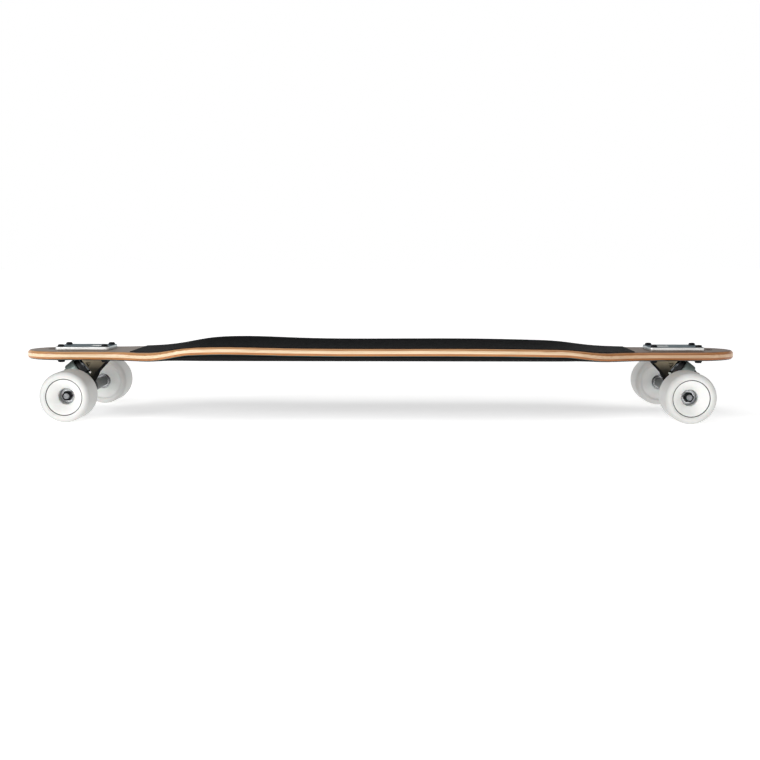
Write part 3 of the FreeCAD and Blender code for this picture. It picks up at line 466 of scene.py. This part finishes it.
# Bright zinc on cold-drawn steel: a grey metal with a faint crystalline mottle a millimetre or two across.
ZINC_CRYSTAL = 0.0016
ZINC_ROUGH = (0.24, 0.4)
zinc, tree, shader, place = start_material("bright zinc on steel", Metallic=1.0)
crystal = add(tree, "ShaderNodeTexVoronoi", {"Vector": place, "Scale": 1 / ZINC_CRYSTAL}).outputs
tone = add(tree, "ShaderNodeValToRGB", {"Fac": crystal["Color"]}, stops=[(0.1, "77787B"), (0.9, "A2A3A6")])
sheen = add(tree, "ShaderNodeMapRange", {
    "Value": crystal["Distance"], "To Min": ZINC_ROUGH[0], "To Max": ZINC_ROUGH[1]})
tree.links.new(tone.outputs[0], shader.inputs["Base Color"])
tree.links.new(sheen.outputs[0], shader.inputs["Roughness"])


def locknut(size, foot, way):
    """A hex nut with chamfered corners and a round collar, seated at foot: hex rows, then plain ones."""
    bore, flats, height = size
    scale = np.array((flats / 2, height))
    ends = rows(PLAIN, [(bore, 0.0), (bore, height)])
    sides, collar = rows(HEX, np.array(NUT_HEX) * scale), rows(PLAIN, np.array(NUT_COLLAR) * scale)
    return lathe(np.vstack([ends[:1], sides, collar, ends[1:]]), foot, way, flats=flats)


kingpin_rows = np.vstack([rows(PLAIN, KINGPIN_TOP), rows(HEX, KINGPIN_HEAD), rows(PLAIN, KINGPIN_STEM),
                          threaded(*KINGPIN_THREAD), rows(PLAIN, KINGPIN_TIP)])
for truck in TRUCK_END:
    ring, down = kingpin_line(truck)
    grid = lathe(kingpin_rows, ring, down, flats=KINGPIN_FLATS, pitch=KINGPIN_THREAD[-1], groove=KINGPIN_GROOVE)
    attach(skin(f"{truck}_threaded_kingpin", [grid], zinc, "plated_steel", f"{truck}_kingpin"), "deck")
    grid = locknut(KINGPIN_NUT, ring + down * KINGPIN_NUT_AT * MM, down)
    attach(skin(f"{truck}_kingpin_locknut", [grid], zinc, "plated_steel", f"{truck}_kingpin_nut"), "deck")


# Mounting bolts and nuts: four button heads with a hex socket on each plate, and locknuts under the deck.
# They clamp the flange and the deck together; the bolts end just past their nuts.
TRUCK_X = 0.428
DECK_UNDER = 0.0784
BOLT_LONG = 0.03175
BOLT_WIDE = 0.02065
BOLT_COLUMNS = 36
SOCKET_FLATS = 3.2
SOCKET_FLOOR = [(0, 1.3)]
SOCKET_WALL = [(2.0, 1.3), (2.0, 2.9)]
BOLT_HEAD = [(2.2, 3.0), (3.0, 2.95), (3.7, 2.7), (4.3, 2.2), (4.65, 1.5), (4.8, 0.8), (4.8, 0.0)]
BOLT_STEM = [(2.4, 0.0), (2.4, -18.0)]
BOLT_THREAD = (2.4, -18.0, -22.8, 0.8)
BOLT_GROOVE = 0.35
BOLT_TIP = [(2.0, -22.9), (1.8, -23.1), (0, -23.1)]
DECK_NUT = (2.43, 9.6, 4.8)
# Black oxide: steel blackened in a hot salt bath and oiled, so nearly black with a soft gleam.
oxide = mottled("black oxide steel", grain=0.004, detail=4.0, rough=(0.3, 0.5),
                tones=[(0.3, "17181A"), (0.75, "2E2F32")], Metallic=1.0)
bolt_rows = np.vstack([rows(PLAIN, SOCKET_FLOOR), rows(HEX, SOCKET_WALL), rows(PLAIN, BOLT_HEAD + BOLT_STEM),
                       threaded(*BOLT_THREAD), rows(PLAIN, BOLT_TIP)])
for truck, end in TRUCK_END.items():
    spots = [(end * TRUCK_X + x * BOLT_LONG, y * BOLT_WIDE) for x in (-1, 1) for y in (-1, 1)]
    grids = [lathe(bolt_rows, (x, y, PLATE_TOP), (0, 0, 1), BOLT_COLUMNS, SOCKET_FLATS, BOLT_THREAD[-1],
                   BOLT_GROOVE) for x, y in spots]
    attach(skin(f"{truck}_button_bolts", grids, oxide, "black_steel", f"{truck}_mounting_bolts"), "deck")
    grids = [locknut(DECK_NUT, (x, y, DECK_UNDER), (0, 0, -1)) for x, y in spots]
    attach(skin(f"{truck}_deck_locknuts", grids, oxide, "black_steel", f"{truck}_mounting_nuts"), "deck")


# Hangers: cast and tumbled like the baseplates, with the ring, the nose and the axle's beam in one piece.
# The skin is left grey from the mould; the beam is painted darker as painted shade under the deck, and the ring
# lighter and teal as a painted reflection.
HANGER_SKIN = 0.0008
HANGER_RELAX = 9
BEAM_TOP = 0.043
RING_LOW = 0.055
grey_alloy, tree, shader, place, lit_cast_tone = cast_metal(
    "grey cast aluminium", [(0.3, "D8DCDA"), (0.75, "F2F4F3")], (0.3, 0.5), BEAM_TOP, RING_LOW,
    [(0.0, "595B5C"), (1.0, "A4AFAC")], Metallic=0.4)
tree.links.new(lit_cast_tone, shader.inputs["Base Color"])
for truck in TRUCK_END:
    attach(cast(f"{truck}_hanger", grey_alloy, HANGER_SKIN, HANGER_RELAX), f"{truck}_hanger")


# Axles: a ground steel rod cast into each hanger and threaded at both ends, zinc plated.
# A black locknut holds each wheel, with a plated washer each side of it and a spacer between its bearings.
AXLE_Z = 0.035
AXLE_END = [(0, -116.0), (3.3, -116.0), (3.65, -115.6)]
AXLE_RADIUS = 3.97
AXLE_PITCH = 1.06
AXLE_GROOVE = 0.5
THREAD_FROM = 102.0
THREAD_TO = 115.5
NUT_FACE = 0.106
AXLE_NUT = (4.0, 12.7, 8.0)
WHEEL_SIDE = {"left": -1, "right": 1}
WHEELS = [(truck, hand, f"{truck}_{hand}") for truck in TRUCK_END for hand in WHEEL_SIDE]
dress(zinc, *[f"{truck}_speed_washers" for truck in TRUCK_END])
dress(zinc, *[f"{wheel}_bearing_spacer" for truck, hand, wheel in WHEELS])
axle_rows = np.vstack([
    rows(PLAIN, AXLE_END), threaded(AXLE_RADIUS, -THREAD_TO, -THREAD_FROM, AXLE_PITCH),
    rows(PLAIN, [(AXLE_RADIUS, -THREAD_FROM), (AXLE_RADIUS, THREAD_FROM)]),
    threaded(AXLE_RADIUS, THREAD_FROM, THREAD_TO, AXLE_PITCH),
    rows(PLAIN, [(radius, -along) for radius, along in reversed(AXLE_END)])])
for truck, end in TRUCK_END.items():
    middle = np.array((end * AXLE_X, 0.0, AXLE_Z))
    grid = lathe(axle_rows, middle, (0, 1, 0), pitch=AXLE_PITCH, groove=AXLE_GROOVE)
    axle = skin(f"{truck}_threaded_axle", [grid], zinc, "plated_steel", f"{truck}_axle")
    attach(axle, f"{truck}_hanger")
    grids = [locknut(AXLE_NUT, middle + (0, side * NUT_FACE, 0), (0, side, 0)) for side in WHEEL_SIDE.values()]
    nuts = skin(f"{truck}_axle_locknuts", grids, oxide, "plated_steel", f"{truck}_axle_nuts")
    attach(nuts, f"{truck}_hanger")


# Bearings: two in each wheel, of through-hardened steel rings with broken edges and balls in their races.
# The inner rings are clamped on the axle and the outer rings turn with the wheel.
# Sheet shields with a pressed step close both faces.
CORE_Y = 0.093
OUTER_RING = [(8.9, 5.03), (11.0, 5.03), (11.0, 12.0), (8.9, 12.0)]
OUTER_RING_EASE = 0.45
INNER_RING = [(4.0, 5.03), (6.1, 5.03), (6.1, 12.0), (4.0, 12.0)]
INNER_RING_EASE = 0.35
SHIELD = [(6.35, 11.3), (8.87, 11.3), (8.87, 11.7), (8.5, 11.7), (8.2, 11.5), (7.0, 11.5), (6.75, 11.7),
          (6.35, 11.7)]
SHIELD_EASE = 0.08
SHIELD_INSET = 6.0
inner_shield = [(radius, along - SHIELD_INSET) for radius, along in SHIELD]
# Ground bearing steel: a clean grey with a narrow highlight, broken by scratches about 1.5 mm apart.
ground = mottled("ground bearing steel", grain=0.0015, detail=2.0, rough=(0.14, 0.26),
                 tones=[(0.3, "A2A4A7"), (0.8, "BCBEC1")], Metallic=1.0)
# Polished sheet steel: brighter than the ground rings, and a little blurred.
bright = mottled("polished sheet steel", grain=0.004, detail=3.0, rough=(0.2, 0.34),
                 tones=[(0.3, "E2E4E6"), (0.8, "F4F5F6")], Metallic=1.0)
dress(ground, *[f"{wheel}_bearing_balls" for truck, hand, wheel in WHEELS])
for truck, hand, wheel in WHEELS:
    middle = (TRUCK_END[truck] * AXLE_X, WHEEL_SIDE[hand] * CORE_Y, AXLE_Z)
    for part, outline, ease, body in (("outer_rings", OUTER_RING, OUTER_RING_EASE, f"{wheel}_wheel"),
                                      ("inner_rings", INNER_RING, INNER_RING_EASE, f"{truck}_hanger")):
        grids = [lathe(eased(outline, ease), middle, (0, side, 0)) for side in (-1, 1)]
        rings = skin(f"{wheel}_ground_{part}", grids, ground, "bearing_steel", f"{wheel}_bearing_{part}")
        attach(rings, body)
    grids = [lathe(eased(outline, SHIELD_EASE), middle, (0, side, 0)) for side in (-1, 1)
             for outline in (SHIELD, inner_shield)]
    shields = skin(f"{wheel}_pressed_shields", grids, bright, "chromed_steel", f"{wheel}_bearing_shields")
    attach(shields, f"{wheel}_wheel")


# Hubs: glass-filled nylon moulded in white, with the bearings pressed into both ends.
# The tyre is poured round it, so only its end rings show.
# White moulded nylon: matte, with faint specks about 3 mm across where the glass shows.
nylon = mottled("white moulded nylon", grain=0.003, detail=3.0, rough=(0.42, 0.6),
                tones=[(0.3, "D2D2CF"), (0.8, "E6E6E3")], IOR=1.53)
dress(nylon, *[f"{wheel}_hub" for truck, hand, wheel in WHEELS])


# Tyres: white polyurethane poured round the hub and turned true.
# The core sits towards the inner side, so the outer face is a deep bowl; the inner face is flat.
# A fine groove is turned round the outer face inside its sloping rim, and a ring is inked over it.
WHEEL_Y = 0.103
OUTER_FACE = [(17.03, 3.03), (11.3, 3.03), (11.3, 12.0), (19.5, 20.2), (24.6, 23.5), (24.9, 23.1), (25.2, 23.7),
              (27.5, 25.0), (28.5, 25.0)]
OUTER_EASE = [0, 0.2, 0.8, 5.0, 0.12, 0.15, 0.12, 0.6, 0]
INNER_FACE = [(17.03, 23.03), (11.3, 23.03), (11.3, 23.8), (25.5, 23.8), (27.5, 25.0), (28.5, 25.0)]
INNER_EASE = [0, 0.2, 0.4, 0.7, 0.6, 0]
LIP_RADIUS = 6.5
LIP_MIDDLE = np.array((28.5, 18.5))
LIP_STEPS = 14
TYRE_COLUMNS = 128
TYRE_RADIUS = 0.035
LINE_RADIUS = 0.0249
LINE_HALF = 0.0006
FACE_FROM = 0.015
MILKY_CLOUD = 0.018
TYRE_ROUGH = (0.32, 0.5)
# Cast white urethane: satin and a little milky, because light goes in before it comes back.
tyre, tree, shader, place = start_material("cast white urethane", IOR=1.5, Subsurface_Weight=0.1,
                                           Subsurface_Scale=0.004)
milky = add(tree, "ShaderNodeTexNoise", {
    "Vector": place, "Scale": 1 / MILKY_CLOUD, "Detail": 4.0}).outputs["Fac"]
tone = add(tree, "ShaderNodeValToRGB", {"Fac": milky}, stops=[(0.3, "F4F4F2"), (0.75, "FFFFFD")])
# Distances from the axle and outwards from the wheel's middle, with all four wheels folded on to one.
folded = add(tree, "ShaderNodeVectorMath", {0: place}, operation="ABSOLUTE")
away = add(tree, "ShaderNodeVectorMath", {0: folded.outputs[0], 1: (AXLE_X, WHEEL_Y, AXLE_Z)},
           operation="SUBTRACT")
spoke = add(tree, "ShaderNodeVectorMath", {0: away.outputs[0], 1: (1, 0, 1)}, operation="MULTIPLY")
reach = add(tree, "ShaderNodeVectorMath", {0: spoke.outputs[0]}, operation="LENGTH").outputs["Value"]
outward = add(tree, "ShaderNodeSeparateXYZ", {"Vector": away.outputs[0]}).outputs["Y"]
near_line = add(tree, "ShaderNodeMath", {0: reach, 1: LINE_RADIUS, 2: LINE_HALF}, operation="COMPARE")
outer_side = add(tree, "ShaderNodeMath", {0: outward, 1: FACE_FROM}, operation="GREATER_THAN")
inked = add(tree, "ShaderNodeMath", {0: near_line.outputs[0], 1: outer_side.outputs[0]}, operation="MULTIPLY")
# The faces are painted whitest and the rim and tread greyer towards the outside: painted shade on the tread.
share = add(tree, "ShaderNodeMath", {0: reach, 1: 1 / TYRE_RADIUS}, operation="MULTIPLY")
tread_shade = add(tree, "ShaderNodeValToRGB", {"Fac": share.outputs[0]},
             stops=[(0.70, "F4F4F3"), (0.76, "E6E6E5"), (0.86, "E0E0DF"), (1.0, "C2C2C1")])
white = add(tree, "ShaderNodeMix", {"Factor": 1.0, "A": tone.outputs[0], "B": tread_shade.outputs[0]},
            data_type="RGBA", blend_type="MULTIPLY")
lined = add(tree, "ShaderNodeMix", {
    "Factor": inked.outputs[0], "A": white.outputs["Result"], "B": linear("3A3A3C")}, data_type="RGBA")
satin = add(tree, "ShaderNodeMapRange", {"Value": milky, "To Min": TYRE_ROUGH[0], "To Max": TYRE_ROUGH[1]})
tree.links.new(lined.outputs["Result"], shader.inputs["Base Color"])
tree.links.new(satin.outputs[0], shader.inputs["Roughness"])
# The profile goes out over the bowl, round a quarter circle at each lip, and back over the flat inner face.
quarter = np.linspace(0, pi / 2, LIP_STEPS)[:, None]
lip = rows(PLAIN, LIP_MIDDLE + LIP_RADIUS * np.hstack([np.sin(quarter), np.cos(quarter)]))
outer_half = np.vstack([eased(OUTER_FACE, OUTER_EASE), lip])
inner_half = np.vstack([eased(INNER_FACE, INNER_EASE), lip])
tyre_rows = np.vstack([outer_half, inner_half[::-1] * (1, -1, 1)])
for truck, hand, wheel in WHEELS:
    side = WHEEL_SIDE[hand]
    grid = lathe(tyre_rows, (TRUCK_END[truck] * AXLE_X, side * WHEEL_Y, AXLE_Z), (0, side, 0), TYRE_COLUMNS)
    poured = skin(f"{wheel}_poured_tyre", [grid], tyre, "white_urethane", f"{wheel}_tyre")
    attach(poured, f"{wheel}_wheel")


# Studio: a white acrylic floor lit from below, inside walls that are white near the floor and dim higher up.
# One soft box stands in front on the left and a larger one hangs above, a little in front of the board.
FLOOR_HALF = 14.0
FLOOR_TOOTH = 0.05
# The floor's lamps grow stronger between two distances from the board, where the upper box does not reach.
GLOW_FROM = 0.6
GLOW_TO = 2.8
GLOW_NEAR = 0.52
GLOW_FAR = 0.98
WALL_TOP = sin(radians(16.0))
WALL_FADE = sin(radians(30.0))
WALL_DIM = 0.12
# Soft boxes: place, width in metres and power in watts; both face the trucks' height at mid-deck.
SOFT_BOXES = (("key", (-1.9, -1.6, 1.0), 1.0, 22.0), ("overhead", (0.0, -0.6, 2.2), 3.0, 26.0))
BOX_AIM = Vector((0, 0, 0.06))
acrylic, tree, shader, place = start_material("back-lit white acrylic", Roughness=0.9, IOR=1.4,
                                              Specular_IOR_Level=0.1, Emission_Color=linear("FFFFFF"))
tooth = add(tree, "ShaderNodeTexNoise", {"Vector": place, "Scale": 1 / FLOOR_TOOTH, "Detail": 2.0})
tone = add(tree, "ShaderNodeValToRGB", {"Fac": tooth.outputs["Fac"]}, stops=[(0.3, "FAFAFA"), (0.7, "FDFDFD")])
distance = add(tree, "ShaderNodeVectorMath", {0: place}, operation="LENGTH")
glow = add(tree, "ShaderNodeMapRange", {
    "Value": distance.outputs["Value"], "From Min": GLOW_FROM, "From Max": GLOW_TO, "To Min": GLOW_NEAR,
    "To Max": GLOW_FAR}, interpolation_type="SMOOTHSTEP")
tree.links.new(tone.outputs[0], shader.inputs["Base Color"])
tree.links.new(glow.outputs[0], shader.inputs["Emission Strength"])
corners = [(x * FLOOR_HALF, y * FLOOR_HALF, 0.0) for x, y in ((-1, -1), (1, -1), (1, 1), (-1, 1))]
floor_mesh = bpy.data.meshes.new("floor")
floor_mesh.from_pydata(corners, [], [(0, 1, 2, 3)])
floor_mesh.materials.append(acrylic)
floor = bpy.data.objects.new("floor", floor_mesh)
bpy.context.scene.collection.objects.link(floor)
walls = bpy.data.worlds.new("studio walls")
walls.use_nodes = True
tree = walls.node_tree
way = add(tree, "ShaderNodeTexCoord").outputs["Generated"]
height = add(tree, "ShaderNodeSeparateXYZ", {"Vector": way}).outputs["Z"]
wall = add(tree, "ShaderNodeMapRange", {
    "Value": height, "From Min": WALL_TOP, "From Max": WALL_FADE, "To Min": 1.0, "To Max": WALL_DIM},
    interpolation_type="SMOOTHSTEP")
tree.nodes["Background"].inputs["Color"].default_value = linear("FFFFFF")
tree.links.new(wall.outputs[0], tree.nodes["Background"].inputs["Strength"])
bpy.context.scene.world = walls
for name, spot, width, power in SOFT_BOXES:
    lamp = bpy.data.lights.new(name, "AREA")
    lamp.size = width
    lamp.energy = power
    box = bpy.data.objects.new(name, lamp)
    box.location = spot
    box.rotation_euler = (BOX_AIM - Vector(spot)).to_track_quat("-Z", "Y").to_euler()
    bpy.context.scene.collection.objects.link(box)


# Camera: a little above the deck and almost square-on, as the photograph was taken.
# Its place, angles in radians and focal length were fitted to the wheels' outlines and the deck's tips.
EYE = (0.0465, -1.6833, 0.2305)
YAW = -0.0259
PITCH = 0.1092
ROLL = -0.0008
FOCAL_PIXELS = 1156.93
PICTURE_WIDTH = 760
SENSOR = 36.0
lens = bpy.data.cameras.new("camera")
lens.sensor_width = SENSOR
lens.lens = FOCAL_PIXELS / PICTURE_WIDTH * SENSOR
camera = bpy.data.objects.new("camera", lens)
ahead = Vector((sin(YAW) * cos(PITCH), cos(YAW) * cos(PITCH), -sin(PITCH)))
turn = ahead.to_track_quat("-Z", "Y").to_matrix().to_4x4() @ Matrix.Rotation(ROLL, 4, "Z")
camera.matrix_world = Matrix.Translation(EYE) @ turn
bpy.context.scene.collection.objects.link(camera)
bpy.context.scene.camera = camera
bpy.context.scene.view_settings.view_transform = "Standard"
